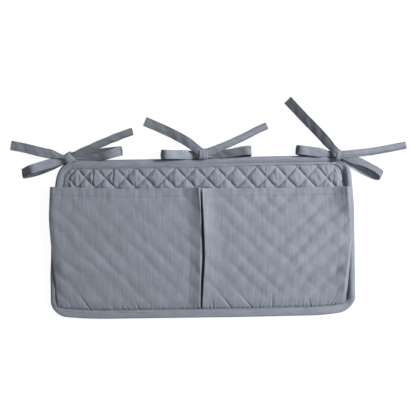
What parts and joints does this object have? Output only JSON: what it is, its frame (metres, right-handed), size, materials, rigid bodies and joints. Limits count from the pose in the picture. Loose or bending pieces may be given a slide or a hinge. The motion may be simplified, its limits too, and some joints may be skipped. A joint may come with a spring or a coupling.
{
  "type": "crib pocket organizer",
  "caption": "Quilted cloth panel with a bound edge, side-by-side pleated pockets on its front and tied straps along the top edge for hanging it on a crib rail.",
  "frame": {"origin": "under the middle of the panel, on the surface that it lies on with its back down", "axes": "+X across the panel to the right as seen from the front, +Y up the panel towards the tied edge, +Z out of the front"},
  "size_m": [0.7166, 0.3936, 0.0208],
  "materials": {
    "slate_cotton": "matt plain-woven cotton, slate grey-blue, lightly creased",
    "tie_cotton": "folded and edge-stitched strap of the same slate cotton",
    "lining_cotton": "plain cotton lining, slate grey-blue, quilted through",
    "wadding": "off-white polyester wadding"
  },
  "bodies": {
    "panel": {"back_lining": "lining_cotton", "batting": "wadding", "quilt_face": "slate_cotton", "edge_binding": "slate_cotton", "pocket_seam_allowance": "slate_cotton", "pocket_divider": "slate_cotton", "left_outer_pleat": "slate_cotton", "left_inner_pleat": "slate_cotton", "right_inner_pleat": "slate_cotton", "right_outer_pleat": "slate_cotton", "left_tie_root": "tie_cotton", "left_tie_knot": "tie_cotton", "left_tie_left_loop": "tie_cotton", "left_tie_right_loop": "tie_cotton", "centre_tie_root": "tie_cotton", "centre_tie_knot": "tie_cotton", "centre_tie_left_loop": "tie_cotton", "centre_tie_right_loop": "tie_cotton", "right_tie_root": "tie_cotton", "right_tie_knot": "tie_cotton", "right_tie_left_loop": "tie_cotton", "right_tie_right_loop": "tie_cotton"},
    "left_pocket": {"left_pocket_front": "slate_cotton", "left_pocket_hem": "slate_cotton"},
    "right_pocket": {"right_pocket_front": "slate_cotton", "right_pocket_hem": "slate_cotton"},
    "left_bow_left_end": {"left_tie_left_tail": "tie_cotton"},
    "left_bow_right_end": {"left_tie_right_tail": "tie_cotton"},
    "centre_bow_left_end": {"centre_tie_left_tail": "tie_cotton"},
    "centre_bow_right_end": {"centre_tie_right_tail": "tie_cotton"},
    "right_bow_left_end": {"right_tie_left_tail": "tie_cotton"},
    "right_bow_right_end": {"right_tie_right_tail": "tie_cotton"}
  },
  "joints": [
    {"name": "left_pocket_open", "type": "hinge", "parent": "panel", "child": "left_pocket", "pos_m": [-0.137, -0.1272, 0.00658], "axis": [1, 0, 0], "range_deg": [0, 12], "deforming": ["left_outer_pleat", "left_inner_pleat"]},
    {"name": "right_pocket_open", "type": "hinge", "parent": "panel", "child": "right_pocket", "pos_m": [0.137, -0.1272, 0.00658], "axis": [1, 0, 0], "range_deg": [0, 12], "deforming": ["right_outer_pleat", "right_inner_pleat"]},
    {"name": "left_bow_left_end_lift", "type": "hinge", "parent": "panel", "child": "left_bow_left_end", "pos_m": [-0.24953, 0.14926, 0.0183], "axis": [0.232, 0.9727, 0], "range_deg": [0, 75]},
    {"name": "left_bow_right_end_lift", "type": "hinge", "parent": "panel", "child": "left_bow_right_end", "pos_m": [-0.23096, 0.15078, 0.0183], "axis": [0.3869, -0.9221, 0], "range_deg": [0, 75]},
    {"name": "centre_bow_left_end_lift", "type": "hinge", "parent": "panel", "child": "centre_bow_left_end", "pos_m": [-0.00504, 0.1566, 0.0183], "axis": [0.5716, 0.8205, 0], "range_deg": [0, 75]},
    {"name": "centre_bow_right_end_lift", "type": "hinge", "parent": "panel", "child": "centre_bow_right_end", "pos_m": [0.01221, 0.15436, 0.0183], "axis": [0.3429, -0.9394, 0], "range_deg": [0, 75]},
    {"name": "right_bow_left_end_lift", "type": "hinge", "parent": "panel", "child": "right_bow_left_end", "pos_m": [0.24064, 0.15355, 0.0183], "axis": [0.7607, 0.6491, 0], "range_deg": [0, 75]},
    {"name": "right_bow_right_end_lift", "type": "hinge", "parent": "panel", "child": "right_bow_right_end", "pos_m": [0.25671, 0.14741, 0.0183], "axis": [0.1338, -0.991, 0], "range_deg": [0, 75]}
  ]
}
